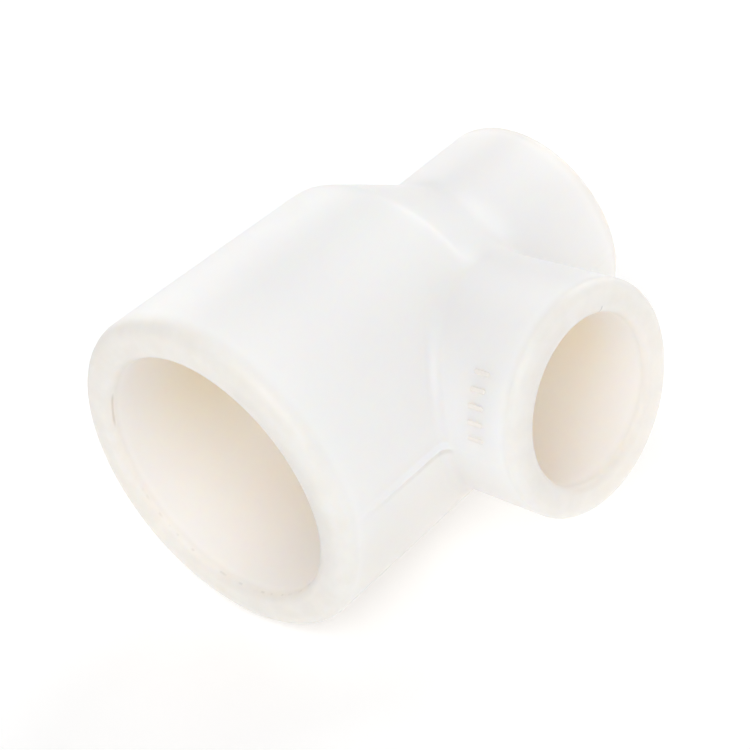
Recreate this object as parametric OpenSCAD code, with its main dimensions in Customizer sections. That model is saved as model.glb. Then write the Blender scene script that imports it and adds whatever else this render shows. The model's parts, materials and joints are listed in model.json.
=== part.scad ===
// Reducing tee for glued pressure pipe, moulded in one piece: a large run socket, a conical
// shoulder that steps the run down to a small socket, and a small branch socket at right angles.
// The origin is where the two centre lines cross. The run lies along X with the large mouth
// at -X, the branch points along -Y, and the mould halves part in the plane Z = 0.

/* [Large run socket] */
// Outside diameter of the barrel at the large mouth
large_mouth_od = 41.8; // [41.4:0.1:44]
// Outside diameter of the barrel where the shoulder starts
large_root_od = 40.8; // [40.4:0.1:42]
// Bore that takes the large pipe
large_bore_d = 32.2; // [31.8:0.1:32.6]
// Depth of the large socket, mouth to pipe stop
large_depth = 20; // [16:0.5:20]
// Distance from the crossing of the centre lines to the large mouth
large_reach = 31.3; // [31:0.1:36]
// Rounding of the outer edge of the large mouth
large_lip_r = 2.2; // [0.5:0.1:2.4]
// Rounding of the large bore's entry
large_entry_r = 1.2; // [0.4:0.1:1.6]

/* [Small sockets] */
// Outside diameter of both small sockets at their mouths
small_mouth_od = 28.1; // [27.8:0.1:28.8]
// Outside diameter of both small sockets where they leave the body
small_root_od = 27.6; // [27:0.1:27.8]
// Bore that takes the small pipe, in both small sockets
small_bore_d = 20.2; // [19.8:0.1:20.6]
// Depth of the small sockets, mouth to pipe stop
small_depth = 16; // [14:0.5:16]
// Distance from the crossing of the centre lines to the small run mouth
run_reach = 27.9; // [27.9:0.1:32]
// Distance from the crossing of the centre lines to the branch mouth
branch_reach = 31.4; // [31:0.1:36]
// Rounding of the outer edge of the small mouths
small_lip_r = 1.3; // [0.4:0.1:1.6]
// Rounding of the small bores' entries
small_entry_r = 1; // [0.4:0.1:1.4]

/* [Shoulder] */
// Where the outside of the shoulder starts to narrow, along the run
shoulder_start = 1.2; // [0.4:0.1:2]
// Where the shoulder meets the small run socket
shoulder_end = 12.8; // [12.2:0.1:13.6]
// Fillet between the shoulder and the small run socket
shoulder_fillet_r = 8; // [3:0.5:9]

/* [Waterway] */
// Diameter of the chamber behind the large pipe stop
chamber_d = 27.2; // [26:0.1:27.6]
// Diameter of the waterway behind the small pipe stops
waterway_d = 16; // [14:0.5:17]
// Where the chamber starts to narrow, along the run
throat_start = 1.5; // [0.5:0.1:2]
// Where the narrowed throat reaches the waterway's diameter
throat_end = 9.5; // [9:0.1:11]

/* [Moulding marks] */
// Height of the parting line that the mould halves leave
seam_height = 0.3; // [0.1:0.05:0.4]
// Width of the parting line
seam_width = 1.2; // [0.4:0.1:1.6]
// Number of plain raised ticks that stand for the size mark on the branch
tick_count = 5; // [3:1:7]
// Height of a tick above the branch's surface
tick_height = 0.3; // [0.15:0.05:0.5]

/* [Hidden] */
$fn = 96;
// Facets of the branch where the thin ticks sit on it
fine_fn = 360;

large_mouth_r = large_mouth_od / 2;
large_root_r = large_root_od / 2;
large_bore_r = large_bore_d / 2;
large_stop_x = large_depth - large_reach;
small_mouth_r = small_mouth_od / 2;
small_root_r = small_root_od / 2;
small_bore_r = small_bore_d / 2;
run_stop_x = run_reach - small_depth;
branch_stop_y = branch_reach - small_depth;
// Height on the branch's centre line from which the branch flares out to its mouth
branch_root_y = 19;
chamber_r = chamber_d / 2;
waterway_r = waterway_d / 2;
shoulder_angle = atan2(large_root_r - small_root_r, shoulder_end - shoulder_start);
fillet_reach = shoulder_fillet_r * tan(shoulder_angle / 2);
cut_margin = 1;
widest_r = large_mouth_r + cut_margin;

// The row of ticks: how far round the branch it starts, its pitch, and a tick's size
tick_first_angle = 9;
tick_pitch = 8;
tick_y = -25.8;
tick_length = 2.2;
tick_width = 0.6;
tick_root = 0.4;
tick_seat_share = (-tick_y - branch_root_y) / (branch_reach - branch_root_y);
tick_seat_r = small_root_r + (small_mouth_r - small_root_r) * tick_seat_share;

plastic = [0.95, 0.94, 0.92];

// Profiles are drawn with the radius along x and the distance along the axis along y.

// The waste outside a rounded corner whose tip is at [r, h]; out and up are 1 or -1
module corner_waste(r, h, round_r, out, up) {
    translate([r, h])
    scale([out, up])
    difference() {
        translate([-round_r, -round_r])
            square(round_r + cut_margin);
        translate([-round_r, -round_r])
            circle(round_r);
    }
}

// Outside of the run; grow makes it fatter without making it longer
module run_outline(grow = 0) {
    difference() {
        polygon([
            [0, -large_reach],
            [large_mouth_r + grow, -large_reach],
            [large_root_r + grow, shoulder_start],
            [small_root_r + grow, shoulder_end],
            [small_mouth_r + grow, run_reach],
            [0, run_reach]
        ]);
        corner_waste(large_mouth_r + grow, -large_reach, large_lip_r, 1, -1);
        corner_waste(small_mouth_r + grow, run_reach, small_lip_r, 1, 1);
    }
    shoulder_fillet(grow);
}

// Web between the cone of the shoulder and the small run socket
module shoulder_fillet(grow) {
    tangent_r = small_root_r + grow + fillet_reach * sin(shoulder_angle);
    tangent_x = shoulder_end - fillet_reach * cos(shoulder_angle);
    difference() {
        polygon([
            [small_root_r + grow - cut_margin, tangent_x],
            [tangent_r, tangent_x],
            [small_root_r + grow, shoulder_end + fillet_reach],
            [small_root_r + grow - cut_margin, shoulder_end + fillet_reach]
        ]);
        translate([small_root_r + grow + shoulder_fillet_r, shoulder_end + fillet_reach])
            circle(shoulder_fillet_r);
    }
}

// Flare of a bore's entry: the waste between the bore and the mouth's face
module entry_flare(bore_r, mouth_h, entry_r, up) {
    translate([bore_r, mouth_h])
    scale([1, up])
    difference() {
        translate([-cut_margin, -entry_r])
            square([cut_margin + entry_r, entry_r + cut_margin]);
        translate([entry_r, -entry_r])
            circle(entry_r);
    }
}

// Everything hollow along the run
module run_hollow() {
    translate([0, -large_reach - cut_margin])
        square([large_bore_r, large_depth + cut_margin]);
    entry_flare(large_bore_r, -large_reach, large_entry_r, -1);
    polygon([
        [0, large_stop_x - cut_margin],
        [chamber_r, large_stop_x - cut_margin],
        [chamber_r, throat_start],
        [waterway_r, throat_end],
        [waterway_r, run_stop_x + cut_margin],
        [0, run_stop_x + cut_margin]
    ]);
    translate([0, run_stop_x])
        square([small_bore_r, small_depth + cut_margin]);
    entry_flare(small_bore_r, run_reach, small_entry_r, 1);
}

// Everything hollow along the branch
module branch_hollow() {
    square([waterway_r, branch_stop_y + cut_margin]);
    translate([0, branch_stop_y])
        square([small_bore_r, small_depth + cut_margin]);
    entry_flare(small_bore_r, branch_reach, small_entry_r, 1);
}

module branch_outline(grow = 0) {
    difference() {
        polygon([
            [0, 0],
            [small_root_r + grow, 0],
            [small_root_r + grow, branch_root_y],
            [small_mouth_r + grow, branch_reach],
            [0, branch_reach]
        ]);
        corner_waste(small_mouth_r + grow, branch_reach, small_lip_r, 1, 1);
    }
}

// Spin a profile about the run's centre line
module along_run() {
    rotate([0, 90, 0]) rotate_extrude() children();
}

// Spin a profile about the branch's centre line
module along_branch() {
    rotate([90, 0, 0]) rotate_extrude() children();
}

// The stretch of the run between two places on its centre line
module run_zone(from_x, to_x) {
    difference() {
        along_run()
            intersection() {
                difference() {
                    run_outline();
                    run_hollow();
                }
                translate([0, from_x]) square([widest_r, to_x - from_x]);
            }
        along_branch() branch_hollow();
    }
}

module large_socket() {
    color(plastic) run_zone(-large_reach, large_stop_x);
}

module run_chamber() {
    color(plastic) run_zone(large_stop_x, shoulder_start);
}

module reducing_shoulder() {
    color(plastic) run_zone(shoulder_start, run_stop_x);
}

module small_run_socket() {
    color(plastic) run_zone(run_stop_x, run_reach);
}

module branch_socket() {
    color(plastic)
    difference() {
        along_branch() branch_outline();
        along_run() run_outline();
        along_branch() branch_hollow();
    }
}

// Thin raised line where the mould halves met, all round the outside in the plane Z = 0
module parting_line() {
    color(plastic)
    difference() {
        intersection() {
            union() {
                along_run() run_outline(seam_height);
                along_branch() branch_outline(seam_height);
            }
            cube([4 * large_reach, 4 * branch_reach, seam_width], center = true);
        }
        along_run() run_outline();
        along_branch() branch_outline();
        along_run() run_hollow();
        along_branch() branch_hollow();
    }
}

// Plain raised ticks on the side of the branch, in place of a moulded size mark
module size_ticks() {
    color(plastic)
    difference() {
        for (i = [0 : tick_count - 1])
            rotate([0, tick_first_angle + i * tick_pitch, 0])
            translate([-tick_seat_r - tick_height, tick_y - tick_length / 2, -tick_width / 2])
                cube([tick_height + tick_root, tick_length, tick_width]);
        along_branch($fn = fine_fn) branch_outline();
    }
}

large_socket();
run_chamber();
reducing_shoulder();
small_run_socket();
branch_socket();
parting_line();
size_ticks();
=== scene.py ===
import json
import math

import bmesh
import bpy
import numpy as np
from mathutils import Matrix, Vector


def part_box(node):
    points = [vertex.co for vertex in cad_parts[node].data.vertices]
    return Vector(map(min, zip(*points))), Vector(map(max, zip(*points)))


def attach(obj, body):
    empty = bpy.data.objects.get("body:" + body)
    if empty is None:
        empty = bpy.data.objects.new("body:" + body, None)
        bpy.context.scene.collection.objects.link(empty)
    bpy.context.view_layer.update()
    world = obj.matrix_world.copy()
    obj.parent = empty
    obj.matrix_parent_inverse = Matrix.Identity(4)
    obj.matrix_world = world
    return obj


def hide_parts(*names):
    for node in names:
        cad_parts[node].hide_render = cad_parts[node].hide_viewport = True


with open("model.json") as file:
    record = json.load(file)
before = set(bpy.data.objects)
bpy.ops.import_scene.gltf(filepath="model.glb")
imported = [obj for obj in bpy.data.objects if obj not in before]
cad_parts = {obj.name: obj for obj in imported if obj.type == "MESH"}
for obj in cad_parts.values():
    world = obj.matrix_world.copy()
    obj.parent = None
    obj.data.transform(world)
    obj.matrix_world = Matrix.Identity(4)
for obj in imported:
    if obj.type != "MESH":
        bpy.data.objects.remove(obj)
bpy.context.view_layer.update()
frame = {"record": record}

MM = 0.001
mounts = {m["name"]: m for m in frame["record"]["mounts"]}


def box_mm(node):
    """Lowest and highest corner of a CAD node, in millimetres."""
    low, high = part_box(node)
    return [c / MM for c in low], [c / MM for c in high]


def bore_mm(mount):
    """Radius of a bore that the record states, in millimetres."""
    return mounts[mount]["dims"]["r_mm"]


# Sizes that the frame gives
(LARGE_MOUTH, _, _), (LARGE_STOP, _, _) = box_mm("large_socket")
(SHOULDER_START, _, _), _ = box_mm("reducing_shoulder")
(RUN_STOP, _, _), (RUN_MOUTH, _, _) = box_mm("small_run_socket")
(_, BRANCH_MOUTH, _), _ = box_mm("branch_socket")
ROOT_R = box_mm("reducing_shoulder")[1][2]
LARGE_BORE_R = bore_mm("large_socket")
SMALL_BORE_R = bore_mm("small_run_socket")
BRANCH_REACH = -BRANCH_MOUTH
BRANCH_STOP = BRANCH_REACH - (RUN_MOUTH - RUN_STOP)

# Sizes that the frame's boxes don't show, as the CAD has them
MOUTH_R = 20.9
SMALL_MOUTH_R = 14.05
SMALL_ROOT_R = 13.8
BRANCH_ROOT = 19.0
SHOULDER_END = 12.8
CHAMBER_R = 13.6
WATERWAY_R = 8.0
THROAT_START = 1.5
THROAT_END = 9.5

# Roundings
LARGE_LIP_R = 2.2
LARGE_ENTRY_R = 1.2
SMALL_LIP_R = 1.3
SMALL_ENTRY_R = 1.0
SHOULDER_R = 1.8
SHOULDER_FILLET_R = 8.0
BRANCH_FILLET_R = 1.3
STOP_R = 0.5
THROAT_R = 3.0
WATERWAY_EDGE_R = 0.6

# Mesh layout
HALF_RING_CELLS = 26          # cells over a quarter turn of the run, the fine ones at Z = 0 among them
SEAM_LINES = (0.14, 0.3, 0.5, 0.85)   # distances from the parting plane that have a line of their own
SEAM_CROWDING = 0.25          # how much the other lines of a ring crowd towards the parting plane
PATCH_X = (-22.0, 20.5)       # the outer patch round the branch's root, along the run
INNER_PATCH_X = (-10.2, 11.2)
PATCH_X_CELLS = 44
PATCH_LAYERS = 11
PATCH_CROWDING = 1.25         # above 1, the patch's layers crowd towards the fillet
FILLET_LAYERS = 9
FILLET_MARGIN = 1.03          # the fillet's mesh starts this much further out than its rounding
BISECTIONS = 40
CORNER_ANGLE = math.radians(50)       # where the branch's ring turns from an end of the patch to a side
NECK_ROWS = 9                 # between the branch's fillet and its last stretch
MOUTH_STRETCH = 6.0           # the last stretch of the branch, up to its mouth
THROAT_ROWS = 4               # between the branch's stop and the inner patch
THROAT_LEAD = 0.1             # straight wall left behind the rounding of the branch's stop
MAX_STEP = 1.2
ARC_STEP = math.radians(10)
FINE_ARC_STEP = math.radians(1.5)


# ---------------------------------------------------------------- profiles

def rounded_path(corners, arc_step=ARC_STEP, max_step=MAX_STEP):
    """A path through (along, radius, rounding) corners, with arcs at the corners, as an array of points."""
    pts = [np.array(corners[0][:2], float)]
    for before, corner, after in zip(corners, corners[1:], corners[2:]):
        p, rounding = np.array(corner[:2], float), corner[2]
        into = p - np.array(before[:2], float)
        out = np.array(after[:2], float) - p
        into /= np.linalg.norm(into)
        out /= np.linalg.norm(out)
        turn = math.atan2(into[0] * out[1] - into[1] * out[0], into @ out)
        tangent = rounding * math.tan(abs(turn) / 2)
        side = np.array([-into[1], into[0]]) * math.copysign(1, turn)
        centre = p - into * tangent + side * rounding
        steps = max(2, math.ceil(abs(turn) / arc_step))
        for a in np.linspace(0, turn, steps + 1):
            c, s = math.cos(a), math.sin(a)
            pts.append(centre + np.array([[c, -s], [s, c]]) @ (-side * rounding))
    pts.append(np.array(corners[-1][:2], float))
    path = [pts[0]]
    for p in pts[1:]:
        gap = np.linalg.norm(p - path[-1])
        if gap < 1e-6:
            continue
        cells = max(1, math.ceil(gap / max_step - 0.2))
        start = path[-1]
        path += [start + (p - start) * (i + 1) / cells for i in range(cells)]
    return np.array(path)


# Outside and inside of the run round the branch, each fine enough to measure distances from
outer_line = rounded_path(
    [
        (LARGE_MOUTH, MOUTH_R),
        (SHOULDER_START, ROOT_R, SHOULDER_R),
        (SHOULDER_END, SMALL_ROOT_R, SHOULDER_FILLET_R),
        (RUN_MOUTH, SMALL_MOUTH_R),
    ],
    FINE_ARC_STEP,
)
inner_line = rounded_path(
    [
        (LARGE_STOP, CHAMBER_R),
        (THROAT_START, CHAMBER_R, THROAT_R),
        (THROAT_END, WATERWAY_R, THROAT_R),
        (RUN_STOP, WATERWAY_R),
    ],
    FINE_ARC_STEP,
)


# Outside and inside of the branch, by distance from the run's centre line
branch_line = np.array([(0, SMALL_ROOT_R), (BRANCH_ROOT, SMALL_ROOT_R), (BRANCH_REACH, SMALL_MOUTH_R)])
branch_bore_line = np.array([(0, WATERWAY_R), (BRANCH_REACH, WATERWAY_R)])


def radius_at(line, x):
    return np.interp(x, line[:, 0], line[:, 1])


def line_distance(line, x, rho):
    """Signed distance from points (x, rho) to a profile line, negative inside it."""
    a, b = line[:-1], line[1:]
    span = b - a
    p = np.stack([x, rho], -1)[:, None, :]
    t = np.clip(((p - a) * span).sum(-1) / (span**2).sum(-1), 0, 1)
    near = np.linalg.norm(p - (a + t[..., None] * span), axis=-1).min(-1)
    return np.where(rho > radius_at(line, x), near, -near)


def blended(points, run, branch, rounding):
    """Signed distance to the run and the branch joined with a round fillet."""
    x, y, z = points.T
    a = line_distance(run, x, np.hypot(y, z))
    b = np.hypot(x, z) - radius_at(branch, -y)
    gap = np.hypot(np.maximum(rounding - a, 0), np.maximum(rounding - b, 0))
    return np.maximum(rounding, np.minimum(a, b)) - gap


def settle(points, *surface, steps=5, probe=1e-3):
    """Moves points on to the blended surface along its gradient."""
    for _ in range(steps):
        f = blended(points, *surface)
        slope = np.stack(
            [
                (blended(points + d, *surface) - blended(points - d, *surface)) / (2 * probe)
                for d in np.eye(3) * probe
            ],
            -1,
        )
        points = points - (f / np.maximum((slope**2).sum(-1), 1e-9))[:, None] * slope
    return points


# ---------------------------------------------------------------- rings

def half_turn(radius, end):
    """Angles from -end to end, with a line at 0 and at each of SEAM_LINES to both sides."""
    seam = [0.0] + [math.asin(z / radius) for z in SEAM_LINES]
    rest = HALF_RING_CELLS - len(SEAM_LINES)
    ramp = np.linspace(0, 1, rest + 1)[1:]
    ramp = ramp * (1 - SEAM_CROWDING + SEAM_CROWDING * ramp)
    side = np.array(seam + list(seam[-1] + (end - seam[-1]) * ramp))
    return np.concatenate([-side[:0:-1], side])


FRONT = 2 * HALF_RING_CELLS   # cells in the half of a ring that faces the branch
RING = 2 * FRONT


class Skin:
    """Vertices and faces of the growing mesh; outside marks the vertices of the outer surface."""

    def __init__(self):
        self.points, self.faces, self.outside = [], [], []

    def add(self, points, outside):
        first = len(self.points)
        self.points += list(points)
        self.outside += [outside] * len(points)
        return list(range(first, len(self.points)))

    def bridge(self, ring_a, ring_b, closed=True):
        """Quads between two rings of vertices; None stands for a vertex that isn't there."""
        count = len(ring_a)
        for i in range(count if closed else count - 1):
            j = (i + 1) % count
            quad = (ring_a[i], ring_a[j], ring_b[j], ring_b[i])
            if None not in quad:
                self.faces.append(quad)


def run_ring_points(x, rho):
    front = half_turn(rho, math.pi / 2)
    turn = np.concatenate([front[:-1], front[:-1] + math.pi])
    return np.stack([np.full(RING, x), -rho * np.cos(turn), rho * np.sin(turn)], -1)


def add_run(skin):
    """The whole run as rings, open where the two patches go. Returns the rims of both openings."""
    to_inside = rounded_path(
        [
            (PATCH_X[0], radius_at(outer_line, PATCH_X[0])),
            (LARGE_MOUTH, MOUTH_R, LARGE_LIP_R),
            (LARGE_MOUTH, LARGE_BORE_R, LARGE_ENTRY_R),
            (LARGE_STOP, LARGE_BORE_R, STOP_R),
            (LARGE_STOP, CHAMBER_R, STOP_R),
            (INNER_PATCH_X[0], CHAMBER_R),
        ]
    )
    to_outside = rounded_path(
        [
            (INNER_PATCH_X[1], radius_at(inner_line, INNER_PATCH_X[1])),
            (RUN_STOP, WATERWAY_R, STOP_R),
            (RUN_STOP, SMALL_BORE_R, STOP_R),
            (RUN_MOUTH, SMALL_BORE_R, SMALL_ENTRY_R),
            (RUN_MOUTH, SMALL_MOUTH_R, SMALL_LIP_R),
            (PATCH_X[1], radius_at(outer_line, PATCH_X[1])),
        ]
    )
    inner_x = patch_stations(*INNER_PATCH_X)
    outer_x = patch_stations(*PATCH_X)[::-1]
    inner = [(x, radius_at(inner_line, x)) for x in inner_x]
    outer = [(x, radius_at(outer_line, x)) for x in outer_x]

    lip_end = 1 + int(np.argmin(np.hypot(to_inside[:, 0] - LARGE_MOUTH, to_inside[:, 1] - LARGE_BORE_R)))
    small_lip = int(np.argmin(np.hypot(to_outside[:, 0] - RUN_MOUTH, to_outside[:, 1] - SMALL_BORE_R)))
    rings = []
    for i, (x, rho) in enumerate(to_inside):
        rings.append(skin.add(run_ring_points(x, rho), i < lip_end))
    inner_rings = [rings[-1]]
    for x, rho in inner[1:-1]:
        inner_rings.append(open_ring(skin, x, rho, False))
    rings += inner_rings[1:]
    for i, (x, rho) in enumerate(to_outside):
        rings.append(skin.add(run_ring_points(x, rho), i > small_lip))
        if i == 0:
            inner_rings.append(rings[-1])
    outer_rings = [rings[-1]]
    for x, rho in outer[1:-1]:
        outer_rings.append(open_ring(skin, x, rho, True))
    rings += outer_rings[1:]
    outer_rings.append(rings[0])
    for ring_a, ring_b in zip(rings, rings[1:] + rings[:1]):
        patched = any(ring_a in group and ring_b in group for group in (inner_rings, outer_rings))
        bridge_run(skin, ring_a, ring_b, patched)
    return rim_of(inner_rings[::-1]), rim_of(outer_rings)


def patch_stations(low, high):
    """Evenly spaced places along the run that cross a patch."""
    share = np.linspace(0, 1, PATCH_X_CELLS + 1)
    return low + (high - low) * share


def open_ring(skin, x, rho, outside):
    """A run ring without the vertices that face the branch."""
    points = run_ring_points(x, rho)
    kept = [0] + list(range(FRONT, RING))
    ids = skin.add(points[kept], outside)
    ring = [None] * RING
    for slot, vertex in zip(kept, ids):
        ring[slot] = vertex
    return ring


def bridge_run(skin, ring_a, ring_b, patched):
    """Joins two run rings; patched leaves out the half that a patch covers."""
    if patched:
        back = list(range(FRONT, RING)) + [0]
        skin.bridge([ring_a[j] for j in back], [ring_b[j] for j in back], closed=False)
    else:
        skin.bridge(ring_a, ring_b)


def rim_of(rings):
    """The rim of a patch's opening, from the +X end round over +Z, -X and -Z; rings go from +X to -X."""
    right, left = rings[0], rings[-1]
    rim = [right[j] for j in range(FRONT)]
    rim += [ring[FRONT] for ring in rings[:-1]]
    rim += [left[j] for j in range(FRONT, 0, -1)]
    rim += [ring[0] for ring in rings[:0:-1]]
    return rim


def branch_turn():
    """The angles round the branch that belong to the vertices of a patch's rim."""
    side = half_turn(SMALL_ROOT_R, CORNER_ANGLE)
    share = np.linspace(0, 1, PATCH_X_CELLS + 1)[:-1]
    across = CORNER_ANGLE + (math.pi - 2 * CORNER_ANGLE) * share
    return np.concatenate([side[:-1], across, math.pi - side[:0:-1], across + math.pi])


TURN = branch_turn()


def add_patch(skin, rim, line, branch, rounding, outside):
    """Fills a patch from the run's rim to the branch, and returns the ring that the branch starts from."""
    reach = FILLET_MARGIN * rounding
    foot_r = branch[0, 1] + reach
    foot = np.stack([foot_r * np.cos(TURN), np.zeros_like(TURN), foot_r * np.sin(TURN)], -1)
    foot[:, 1] = -np.sqrt(radius_at(line, foot[:, 0]) ** 2 - foot[:, 2] ** 2)
    low, high = np.zeros_like(TURN), np.full_like(TURN, BRANCH_REACH)
    for _ in range(BISECTIONS):
        middle = (low + high) / 2
        top = branch_ring_points(middle, radius_at(branch, middle))
        beyond = line_distance(line, top[:, 0], np.hypot(top[:, 1], top[:, 2])) > reach
        high = np.where(beyond, middle, high)
        low = np.where(beyond, low, middle)

    rim_points = np.array([skin.points[v] for v in rim])
    rim_turn = np.arctan2(rim_points[:, 2], -rim_points[:, 1])
    foot_turn = np.arctan2(foot[:, 2], -foot[:, 1])
    previous = rim
    for layer in range(1, PATCH_LAYERS + 1):
        share = 1 - (1 - layer / PATCH_LAYERS) ** PATCH_CROWDING
        x = rim_points[:, 0] + (foot[:, 0] - rim_points[:, 0]) * share
        turn = rim_turn + (foot_turn - rim_turn) * share
        rho = radius_at(line, x)
        ring = skin.add(np.stack([x, -rho * np.cos(turn), rho * np.sin(turn)], -1), outside)
        skin.bridge(previous, ring)
        previous = ring
    for layer in range(1, FILLET_LAYERS + 1):
        points = foot + (top - foot) * (layer / FILLET_LAYERS)
        if layer < FILLET_LAYERS:
            points = settle(points, line, branch, rounding)
        ring = skin.add(points, outside)
        skin.bridge(previous, ring)
        previous = ring
    return previous


def add_branch(skin, outer_ring, inner_ring):
    """The branch socket, from the outer patch out to the mouth and back in to the inner patch."""
    last_stretch = BRANCH_REACH - MOUTH_STRETCH
    path = rounded_path(
        [
            (last_stretch, radius_at(branch_line, last_stretch)),
            (BRANCH_REACH, SMALL_MOUTH_R, SMALL_LIP_R),
            (BRANCH_REACH, SMALL_BORE_R, SMALL_ENTRY_R),
            (BRANCH_STOP, SMALL_BORE_R, STOP_R),
            (BRANCH_STOP, WATERWAY_R, STOP_R),
            (BRANCH_STOP - STOP_R - THROAT_LEAD, WATERWAY_R),
        ]
    )
    lip_end = int(np.argmin(np.hypot(path[:, 0] - BRANCH_REACH, path[:, 1] - SMALL_BORE_R)))
    previous = outer_ring
    start = -np.array([skin.points[v][1] for v in outer_ring])
    for row in range(1, NECK_ROWS):
        reach = start + (path[0, 0] - start) * row / NECK_ROWS
        ring = skin.add(branch_ring_points(reach, radius_at(branch_line, reach)), True)
        skin.bridge(previous, ring)
        previous = ring
    for i, (reach, rho) in enumerate(path):
        ring = skin.add(branch_ring_points(np.full_like(TURN, reach), rho), i <= lip_end)
        skin.bridge(previous, ring)
        previous = ring
    end = -np.array([skin.points[v][1] for v in inner_ring])
    for row in range(1, THROAT_ROWS):
        reach = path[-1, 0] + (end - path[-1, 0]) * row / THROAT_ROWS
        ring = skin.add(branch_ring_points(reach, WATERWAY_R), False)
        skin.bridge(previous, ring)
        previous = ring
    skin.bridge(previous, inner_ring)


def branch_ring_points(reach, rho):
    return np.stack([rho * np.cos(TURN), -reach, rho * np.sin(TURN)], -1)


# ---------------------------------------------------------------- the moulding

SEAM_HEIGHT = 0.36
SEAM_WIDTH = 0.6              # of the gentle flank, above the parting plane
SEAM_STEEP_WIDTH = 0.32       # of the flank below it
BRANCH_SEAM_SHARE = 0.3       # the line is much fainter on the branch
# Distances in from each mouth over which the line fades in, and past the barrel over which it drops
LARGE_SEAM_FADE = (2.6, 6.0)
RUN_SEAM_FADE = (1.6, 4.0)
BRANCH_SEAM_FADE = (1.4, 3.5)
BRANCH_SEAM_DROP = (0.8, 2.2)


def fade(value, start, end):
    """0 up to start, 1 from end on, smooth between."""
    t = np.clip((value - start) / (end - start), 0, 1)
    return t * t * (3 - 2 * t)


def raise_seam(mesh, outside):
    """Raises the parting line on the outer surface, fading out towards the mouths."""
    count = len(mesh.vertices)
    co = np.empty(count * 3)
    mesh.vertices.foreach_get("co", co)
    co = co.reshape(-1, 3)
    normal = np.array([v.normal for v in mesh.vertices])
    x, y, z = (co / MM).T
    keep = fade(x - LARGE_MOUTH, *LARGE_SEAM_FADE)
    keep *= fade(RUN_MOUTH - x, *RUN_SEAM_FADE)
    keep *= fade(y + BRANCH_REACH, *BRANCH_SEAM_FADE)
    keep *= 1 - (1 - BRANCH_SEAM_SHARE) * fade(-y - ROOT_R, *BRANCH_SEAM_DROP)
    ridge = SEAM_HEIGHT * np.exp(-((z / np.where(z > 0, SEAM_WIDTH, SEAM_STEEP_WIDTH)) ** 2))
    lift = np.where(outside, keep * ridge, 0)
    co += normal * (lift * MM)[:, None]
    mesh.vertices.foreach_set("co", co.ravel())
    mesh.update()


def mesh_object(name, points, faces):
    """A smooth-shaded object from points in millimetres."""
    mesh = bpy.data.meshes.new(name)
    mesh.from_pydata([tuple(c * MM for c in p) for p in points], [], faces)
    bm = bmesh.new()
    bm.from_mesh(mesh)
    bmesh.ops.recalc_face_normals(bm, faces=bm.faces)
    bm.to_mesh(mesh)
    bm.free()
    mesh.shade_smooth()
    piece = bpy.data.objects.new(name, mesh)
    bpy.context.collection.objects.link(piece)
    return piece


def make_moulding():
    skin = Skin()
    inner_rim, outer_rim = add_run(skin)
    outer_ring = add_patch(skin, outer_rim, outer_line, branch_line, BRANCH_FILLET_R, True)
    inner_ring = add_patch(skin, inner_rim, inner_line, branch_bore_line, WATERWAY_EDGE_R, False)
    add_branch(skin, outer_ring, inner_ring)
    piece = mesh_object("tee_moulding", skin.points, skin.faces)
    raise_seam(piece.data, np.array(skin.outside))
    return piece


moulding = make_moulding()
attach(moulding, "root")
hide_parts("large_socket", "run_chamber", "reducing_shoulder", "small_run_socket",
            "branch_socket", "parting_line")


# ---------------------------------------------------------------- size ticks

TICK_COUNT = 5
TICK_FIRST = 9                # degrees above the parting plane, on the -X side
TICK_PITCH = 8                # degrees
TICK_CENTRE = 25.8            # distance of the ticks' row from the run's centre line
TICK_LENGTH = 2.2
TICK_WIDTH = 0.6
TICK_HEIGHT = 0.14
TICK_EDGE_R = 0.13
TICK_CORNER_R = 0.2548        # seen from above
TICK_CORNER_SHARE = 0.98      # of the half width that a corner may take up
TICK_SINK = 0.25              # how far the pads reach into the branch


def tick_outline(inset, steps=8):
    """A rounded rectangle, seen from above the tick, as (along the branch, round the branch) points."""
    half_l, half_w = TICK_LENGTH / 2 - inset, TICK_WIDTH / 2 - inset
    corner = min(half_w * TICK_CORNER_SHARE, TICK_CORNER_R)
    points = []
    for quarter, (sign_l, sign_w) in enumerate([(1, 1), (-1, 1), (-1, -1), (1, -1)]):
        for a in np.linspace(0, math.pi / 2, steps) + quarter * math.pi / 2:
            points.append((sign_l * (half_l - corner) + corner * math.cos(a),
                           sign_w * (half_w - corner) + corner * math.sin(a)))
    return points


def make_ticks():
    """Low pads with rounded edges that follow the branch's curve."""
    vertices, faces = [], []
    arc = np.linspace(0, math.pi / 2, 6)
    layers = [(0, -TICK_SINK)]
    layers += [(TICK_EDGE_R * (1 - math.cos(a)), TICK_HEIGHT - TICK_EDGE_R * (1 - math.sin(a))) for a in arc]
    for index in range(TICK_COUNT):
        angle = math.radians(TICK_FIRST + TICK_PITCH * index)
        rings = []
        for inset, height in layers:
            ring = []
            for along, across in tick_outline(inset):
                reach = TICK_CENTRE + along
                rho = radius_at(branch_line, reach) + height
                turn = angle + across / SMALL_MOUTH_R
                ring.append(len(vertices))
                vertices.append((-rho * math.cos(turn), -reach, rho * math.sin(turn)))
            rings.append(ring)
        count = len(rings[0])
        for low, high in zip(rings, rings[1:]):
            faces += [(low[i], low[(i + 1) % count], high[(i + 1) % count], high[i]) for i in range(count)]
        for ring, flip in ((rings[0], True), (rings[-1], False)):
            middle = len(vertices)
            vertices.append(tuple(np.mean([vertices[v] for v in ring], 0)))
            for i in range(count):
                face = (ring[i], ring[(i + 1) % count], middle)
                faces.append(face[::-1] if flip else face)
    return mesh_object("size_ticks_moulded", vertices, faces)


ticks = make_ticks()
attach(ticks, "root")
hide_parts("size_ticks")


# ---------------------------------------------------------------- material

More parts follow.
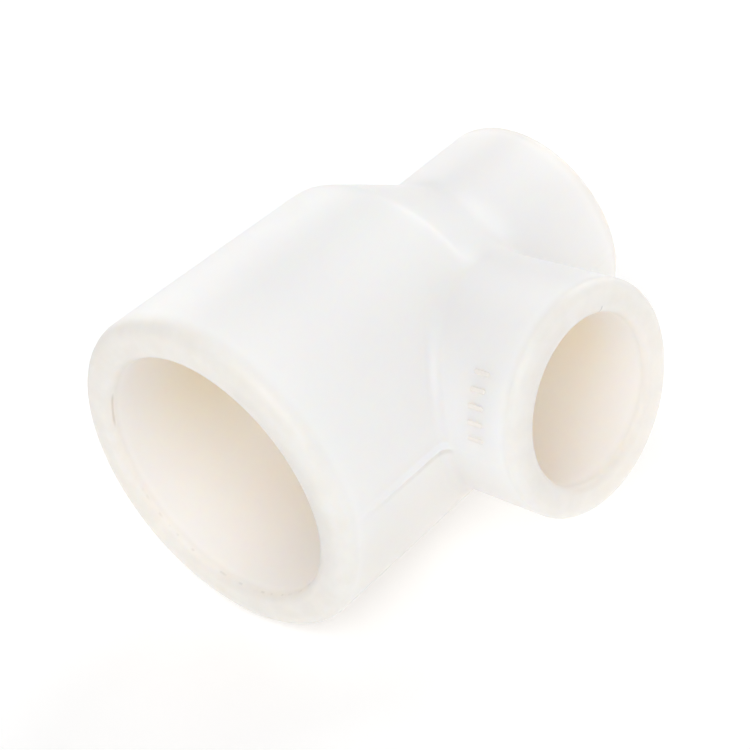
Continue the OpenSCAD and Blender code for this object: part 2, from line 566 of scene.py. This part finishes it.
class Nodes:
    """Shorthand for the nodes of one material; places are the object's own, in metres."""

    def __init__(self, name):
        self.material = bpy.data.materials.new(name)
        self.material.use_nodes = True
        self.tree = self.material.node_tree
        self.shader = self.tree.nodes["Principled BSDF"]

    def link(self, source, target):
        if hasattr(source, "links"):
            self.tree.links.new(source, target)
        else:
            target.default_value = source

    def math(self, operation, *values):
        node = self.tree.nodes.new("ShaderNodeMath")
        node.operation = operation
        for socket, value in zip(node.inputs, values):
            self.link(value, socket)
        return node.outputs[0]

    def ramp(self, value, start, end, low=0.0, high=1.0):
        """low up to start, high from end on, smooth between."""
        node = self.tree.nodes.new("ShaderNodeMapRange")
        node.interpolation_type = "SMOOTHSTEP"
        names = ("Value", "From Min", "From Max", "To Min", "To Max")
        for name, v in zip(names, (value, start, end, low, high)):
            self.link(v, node.inputs[name])
        return node.outputs["Result"]

    def noise(self, place, feature, detail=2.0):
        """Noise from 0 to 1 whose features are about so many millimetres across."""
        node = self.tree.nodes.new("ShaderNodeTexNoise")
        self.link(place, node.inputs["Vector"])
        node.inputs["Scale"].default_value = 1 / (feature * MM)
        node.inputs["Detail"].default_value = detail
        return node.outputs["Fac"]

    def mix(self, share, a, b):
        node = self.tree.nodes.new("ShaderNodeMix")
        node.data_type = "RGBA"
        self.link(share, node.inputs["Factor"])
        self.link(a, node.inputs["A"])
        self.link(b, node.inputs["B"])
        return node.outputs["Result"]

    def product(self, first, *others):
        for other in others:
            first = self.math("MULTIPLY", first, other)
        return first

    def highest(self, first, *others):
        for other in others:
            first = self.math("MAXIMUM", first, other)
        return first

    def distance(self, a, b):
        """Distance from the axis along which neither a nor b changes."""
        return self.math("SQRT", self.math("ADD", self.math("MULTIPLY", a, a), self.math("MULTIPLY", b, b)))

    def bump(self, height, distance, normal=None):
        node = self.tree.nodes.new("ShaderNodeBump")
        self.link(height, node.inputs["Height"])
        node.inputs["Distance"].default_value = distance * MM
        if normal is not None:
            self.link(normal, node.inputs["Normal"])
        return node.outputs["Normal"]


def colour(r, g, b):
    return (r, g, b, 1.0)


OUTSIDE_WHITE = colour(0.966, 0.93, 0.885)
OUTSIDE_WHITE_2 = colour(0.976, 0.942, 0.902)
# Greyer white: painted shade at the mouths and on the lower half, and the ticks' greyer tone
SHADE_AND_TICK_GREY = colour(0.82, 0.775, 0.725)
# Painted highlight along the top of the parting-line ridge
SEAM_HIGHLIGHT_WHITE = colour(1.0, 0.985, 0.96)
# Painted light at the bore entries, and painted warm shade deeper in the bores
ENTRY_PAINTED_LIGHT = colour(0.998, 0.957, 0.905)
WARM_BORE_SHADE = colour(0.985, 0.81, 0.685)
# Dark grey of the real scuffs and nick, and of the painted shade below the ridge
GRIME_AND_SHADE = colour(0.36, 0.34, 0.31)

BORE_EDGE = (0.1, 0.5)        # distances outside a bore's wall over which its tints end
ENTRY_DEPTH = (0.5, 2.0)      # depths in a bore between which its painted light at the entry starts
WARM_FROM = 1.0               # depth in a bore from which its painted warm shade starts
LARGE_WARM_DEPTH = 17         # depth by which its painted warm shade is at its strongest
SMALL_WARM_DEPTH = 12
WARM_Z = (-12, 6)             # the painted warm shade grows from WARM_LOW to 1 between these heights, the most on the upper walls
WARM_LOW = 0.2
RIM_FROM = 0.6                # depth from a mouth at which its painted shade starts to go
LARGE_RIM_DEPTH = 3.2
SMALL_RIM_DEPTH = 2.2
LOWER_Z = (-9, 3)             # the painted shade on the lower half goes between these heights
LOWER_SHARE = 0.55
TICK_SHARE = 0.55             # of the greyer tint in the ticks

# Where the painted light and shade of the large bore, of the chamber and throat, and of the branch's bore
# end, along the run for the first two and along the branch for the last
LARGE_BORE_X = (-2, 0)
THROAT_X = (7, 9)
BRANCH_BORE_Y = (-10, -8)

# Sizes of the noise in the plastic, and the range of its values that is used
TINT_PATCH = 22.0
RIM_PATCH = 3.0
UNDER_PATCH = 2.5
GRAIN = 1.6
WAVE = 9.0
NOISE_RANGE = (0.3, 0.7)
RIM_NOISE_RANGE = (0.25, 0.75)
RIM_PATCH_LOW = 0.75          # what the patches leave of the painted shade at the mouths
ROUGHNESS = (0.36, 0.46)
GRAIN_HEIGHT = 0.006
WAVE_HEIGHT = 0.05
PLASTIC_IOR = 1.5
TRANSLUCENCY = 0.8
TRANSLUCENT_DEPTH = 18
TRANSLUCENT_TINT = (1.0, 0.72, 0.5)   # red light goes deepest

# Marks on the entries of the large mouth and the branch
SCUFF_DEPTH = 0.72
SCUFF_R = 16                  # about the bore's radius, which turns the angle into a length
SCUFF_WIDTH = (0.05, 0.14)    # half width and soft edge
SCUFF_CENTRE = math.radians(162)      # round the run, from the branch's side
SCUFF_HALF = math.radians(6)
SCUFF_FADE = 0.09             # radians
SCUFF_SHARE = 0.4
SCUFF_DOT = 1.3
SCUFF_DOT_RANGE = (0.5, 0.64)         # of the noise, from no dot to a full one
SCUFF_DOT_SHARE = 0.2
SCUFF_DOT_Z = (-9, -4)
NICK_TURN = math.radians(67)  # round the branch, from the small run mouth's side
NICK_WIDTH = (0.004, 0.01)    # half width and soft edge, in radians
NICK_R = 10.6
NICK_LENGTH = (0.35, 0.2)
NICK_DEPTH = (0.5, 0.8)
NICK_SHARE = 0.45

# The parting line's painted highlight and painted shade, on the barrel only
SEAM_TINT_X = (-29, -19)      # where they come in from the large mouth
SEAM_TINT_END = 0.6           # how far short of the branch they start to go
SEAM_TINT_BAND = (1.0, 0.8)   # half width and soft edge, about the barrel's radius
UNDER_Z = -0.62               # painted shade: the darker line below the ridge
UNDER_WIDTH = (0.12, 0.45)
UNDER_SHARES = (0.09, 0.2)
TOP_Z = 0.25                  # painted highlight: the lighter line on the ridge
TOP_WIDTH = (0.25, 0.4)


def inside(n, radius, bore_r):
    """1 on a bore's wall and within it, 0 outside."""
    return n.ramp(radius, (bore_r + BORE_EDGE[0]) * MM, (bore_r + BORE_EDGE[1]) * MM, 1.0, 0.0)


def near(n, value, middle, half, edge):
    """1 within half of the middle, 0 from half + edge on."""
    away = n.math("ABSOLUTE", n.math("SUBTRACT", value, middle))
    return n.ramp(away, half, half + edge, 1.0, 0.0)


def near_mm(n, value, middle, half, edge):
    return near(n, value, middle * MM, half * MM, edge * MM)


def scuffs(n, x, y, z, run_r):
    """A thin ring just inside the large mouth, dark on one stretch and dotted over the lower half."""
    turn = n.math("ARCTAN2", z, n.math("MULTIPLY", y, -1.0))
    ring = near_mm(n, x, LARGE_MOUTH + SCUFF_DEPTH, *SCUFF_WIDTH)
    ring = n.product(ring, inside(n, run_r, LARGE_BORE_R + BORE_EDGE[1]))
    line = n.product(near(n, turn, SCUFF_CENTRE, SCUFF_HALF, SCUFF_FADE), SCUFF_SHARE)
    around = n.tree.nodes.new("ShaderNodeCombineXYZ")
    n.link(n.math("MULTIPLY", turn, SCUFF_R * MM), around.inputs[0])
    dots = n.ramp(n.noise(around.outputs[0], SCUFF_DOT, 1.0), *SCUFF_DOT_RANGE, 0.0, SCUFF_DOT_SHARE)
    low = n.ramp(z, SCUFF_DOT_Z[0] * MM, SCUFF_DOT_Z[1] * MM, 1.0, 0.0)
    return n.product(ring, n.highest(line, n.product(dots, low)))


def nick(n, x, y, z, branch_r):
    """A short radial nick on the branch's entry."""
    turn = n.math("ARCTAN2", z, x)
    start, end = ((depth - BRANCH_REACH) * MM for depth in NICK_DEPTH)
    face = n.ramp(y, start, end, NICK_SHARE, 0.0)
    return n.product(near(n, turn, NICK_TURN, *NICK_WIDTH), near_mm(n, branch_r, NICK_R, *NICK_LENGTH), face)


def barrel_stretch(n, x, run_r):
    """1 on the barrel's outside between the large mouth and the branch."""
    barrel = near_mm(n, run_r, ROOT_R, *SEAM_TINT_BAND)
    past_mouth = n.ramp(x, SEAM_TINT_X[0] * MM, SEAM_TINT_X[1] * MM)
    short_of_branch = n.ramp(x, -SMALL_ROOT_R * MM, (-SMALL_ROOT_R + SEAM_TINT_END) * MM, 1.0, 0.0)
    return n.product(barrel, past_mouth, short_of_branch)


def bore_light_and_shade(n, x, y, z, run_r, branch_r):
    """How much of the painted light at the entry and of the painted warm shade in the depth a point in a
    bore has.
    """
    large_in, branch_in, small_in = mouth_depths(n, x, y)
    in_large = n.ramp(x, LARGE_BORE_X[0] * MM, LARGE_BORE_X[1] * MM, 1.0, 0.0)
    in_throat = n.ramp(x, THROAT_X[0] * MM, THROAT_X[1] * MM, 1.0, 0.0)
    in_branch = n.ramp(y, BRANCH_BORE_Y[0] * MM, BRANCH_BORE_Y[1] * MM, 1.0, 0.0)
    bores = (
        (n.product(in_large, inside(n, run_r, LARGE_BORE_R)), large_in, LARGE_WARM_DEPTH),
        (n.product(in_throat, inside(n, run_r, CHAMBER_R)), large_in, LARGE_WARM_DEPTH),
        (n.product(in_branch, inside(n, branch_r, SMALL_BORE_R)), branch_in, SMALL_WARM_DEPTH),
        (inside(n, run_r, SMALL_BORE_R), small_in, SMALL_WARM_DEPTH),
    )
    entry_start, entry_end = (depth * MM for depth in ENTRY_DEPTH)
    shallow = [n.product(bore, n.ramp(depth, entry_start, entry_end)) for bore, depth, _ in bores]
    deep = [n.product(bore, n.ramp(depth, WARM_FROM * MM, far * MM)) for bore, depth, far in bores]
    by_height = n.ramp(z, WARM_Z[0] * MM, WARM_Z[1] * MM, WARM_LOW, 1.0)
    return n.highest(*shallow), n.product(n.highest(*deep), by_height)


def mouth_depths(n, x, y):
    """Distances in from the large, the branch's and the small run mouth."""
    large_in = n.math("ADD", x, -LARGE_MOUTH * MM)
    branch_in = n.math("ADD", y, BRANCH_REACH * MM)
    small_in = n.math("SUBTRACT", RUN_MOUTH * MM, x)
    return large_in, branch_in, small_in


def painted_grey_shade(n, place, x, y, z):
    """How much painted shade a point has, as a greyer tint: the most at the mouths, some on the lower half.
    """
    depths = (LARGE_RIM_DEPTH, SMALL_RIM_DEPTH, SMALL_RIM_DEPTH)
    rims = n.highest(*(n.ramp(depth, RIM_FROM * MM, far * MM, 1.0, 0.0)
                       for depth, far in zip(mouth_depths(n, x, y), depths)))
    rims = n.product(rims, n.ramp(n.noise(place, RIM_PATCH, 3.0), *RIM_NOISE_RANGE, RIM_PATCH_LOW, 1.0))
    return n.highest(rims, n.ramp(z, LOWER_Z[0] * MM, LOWER_Z[1] * MM, LOWER_SHARE, 0.0))


def white_plastic(name, translucent):
    """White plastic whose tints follow the tones in the photo; the ticks have it without translucency."""
    n = Nodes(name)
    place = n.tree.nodes.new("ShaderNodeTexCoord").outputs["Object"]
    axes = n.tree.nodes.new("ShaderNodeSeparateXYZ")
    n.link(place, axes.inputs[0])
    x, y, z = axes.outputs
    run_r = n.distance(y, z)
    branch_r = n.distance(x, z)
    stretch = barrel_stretch(n, x, run_r)
    shallow, deep = bore_light_and_shade(n, x, y, z, run_r, branch_r)

    white = n.mix(n.noise(place, TINT_PATCH), OUTSIDE_WHITE, OUTSIDE_WHITE_2)
    # Painted shade: greyer at the mouths and on the lower half
    white = n.mix(painted_grey_shade(n, place, x, y, z), white, SHADE_AND_TICK_GREY)
    if translucent:
        # Painted highlight: a lighter line along the ridge's top
        white = n.mix(n.product(near_mm(n, z, TOP_Z, *TOP_WIDTH), stretch), white, SEAM_HIGHLIGHT_WHITE)
    else:
        white = n.mix(TICK_SHARE, white, SHADE_AND_TICK_GREY)
    # Painted light at the bore entries, painted warm shade deeper in, the most on the upper walls
    white = n.mix(shallow, white, ENTRY_PAINTED_LIGHT)
    white = n.mix(deep, white, WARM_BORE_SHADE)
    # Real scuffs and a nick, and painted shade in a darker line below the ridge
    patchy = n.ramp(n.noise(place, UNDER_PATCH), *NOISE_RANGE, *UNDER_SHARES)
    under = n.product(near_mm(n, z, UNDER_Z, *UNDER_WIDTH), stretch, patchy)
    grime_and_shade = n.highest(scuffs(n, x, y, z, run_r), nick(n, x, y, z, branch_r), under)
    n.link(n.mix(grime_and_shade, white, GRIME_AND_SHADE), n.shader.inputs["Base Color"])

    fine = n.noise(place, GRAIN, 4.0)
    n.link(n.ramp(fine, *NOISE_RANGE, *ROUGHNESS), n.shader.inputs["Roughness"])
    waves = n.bump(n.noise(place, WAVE, 1.0), WAVE_HEIGHT)
    n.link(n.bump(fine, GRAIN_HEIGHT, normal=waves), n.shader.inputs["Normal"])
    n.shader.inputs["IOR"].default_value = PLASTIC_IOR
    if translucent:
        n.shader.inputs["Subsurface Weight"].default_value = TRANSLUCENCY
        n.shader.inputs["Subsurface Radius"].default_value = TRANSLUCENT_TINT
        n.shader.inputs["Subsurface Scale"].default_value = TRANSLUCENT_DEPTH * MM
    return n.material


moulding.data.materials.append(white_plastic("white_plastic", True))
ticks.data.materials.append(white_plastic("white_plastic_ticks", False))


# ---------------------------------------------------------------- studio

FLOOR_SIZE = 4                # metres
FLOOR_WHITE = colour(0.8, 0.8, 0.8)
FLOOR_ROUGHNESS = 0.9
FLOOR_GLOW = 0.315
WORLD_GLOW = 0.27

# The camera, as fitted to the outline in the photo: degrees, millimetres
CAMERA_PLACE = (-158.91, -183.91, 152.7)
CAMERA_AZIMUTH = -40.191
CAMERA_ELEVATION = 32.942
CAMERA_ROLL = 14.654
CAMERA_SENSOR = 36
CAMERA_LENS = 114.3
CAMERA_NEAR = 0.01            # metres

# Each softbox is (azimuth, elevation, power in watts)
KEY_LIGHT = (225, 40, 4.0)    # from the camera's side, into the two bores that it sees
FILL_LIGHT = (0, 30, 3.5)     # along the run, on the shoulder and the small sockets
BACK_LIGHT = (70, 20, 2.2)    # low from behind, on the floor behind the tee
TOP_LIGHT = (180, 65, 1.5)    # high over the large mouth


def make_floor():
    bpy.ops.mesh.primitive_plane_add(size=FLOOR_SIZE, location=(0, 0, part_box("large_socket")[0].z))
    floor = bpy.context.object
    floor.name = "floor"
    n = Nodes("floor")
    n.shader.inputs["Base Color"].default_value = FLOOR_WHITE
    n.shader.inputs["Roughness"].default_value = FLOOR_ROUGHNESS
    n.shader.inputs["Emission Color"].default_value = colour(1, 1, 1)
    n.shader.inputs["Emission Strength"].default_value = FLOOR_GLOW
    floor.data.materials.append(n.material)


def make_camera():
    """A long lens that looks down on the tee from beside the large mouth, rolled to one side."""
    azimuth, elevation, roll = (math.radians(a) for a in (CAMERA_AZIMUTH, CAMERA_ELEVATION, CAMERA_ROLL))
    back = Vector((math.sin(azimuth) * math.cos(elevation), -math.cos(azimuth) * math.cos(elevation),
                   math.sin(elevation)))
    right = Vector((math.cos(azimuth), math.sin(azimuth), 0))
    up = back.cross(right)
    image_right = right * math.cos(roll) - up * math.sin(roll)
    image_up = right * math.sin(roll) + up * math.cos(roll)
    data = bpy.data.cameras.new("camera")
    data.sensor_width = CAMERA_SENSOR
    data.lens = CAMERA_LENS
    data.clip_start = CAMERA_NEAR
    camera = bpy.data.objects.new("camera", data)
    bpy.context.collection.objects.link(camera)
    turn = Matrix((image_right, image_up, back)).transposed().to_4x4()
    camera.matrix_world = Matrix.Translation(Vector(CAMERA_PLACE) * MM) @ turn
    bpy.context.scene.camera = camera


def make_softbox(azimuth, elevation, power, distance=0.9, size=0.8):
    """A round soft light that shines on the tee; azimuth is counted from +X towards +Y, in degrees."""
    data = bpy.data.lights.new("softbox_%d_%d" % (azimuth, elevation), "AREA")
    data.shape = "DISK"
    data.size = size
    data.energy = power
    lamp = bpy.data.objects.new(data.name, data)
    turn, height = math.radians(azimuth), math.radians(elevation)
    lamp.location = Vector((math.cos(height) * math.cos(turn), math.cos(height) * math.sin(turn),
                            math.sin(height))) * distance
    lamp.rotation_euler = lamp.location.to_track_quat("Z", "Y").to_euler()
    bpy.context.collection.objects.link(lamp)


make_floor()
make_camera()
for softbox in (KEY_LIGHT, FILL_LIGHT, BACK_LIGHT, TOP_LIGHT):
    make_softbox(*softbox)

world = bpy.data.worlds.new("studio")
bpy.context.scene.world = world
world.use_nodes = True
world.node_tree.nodes["Background"].inputs["Color"].default_value = colour(1, 1, 1)
world.node_tree.nodes["Background"].inputs["Strength"].default_value = WORLD_GLOW
bpy.context.scene.view_settings.view_transform = "Standard"
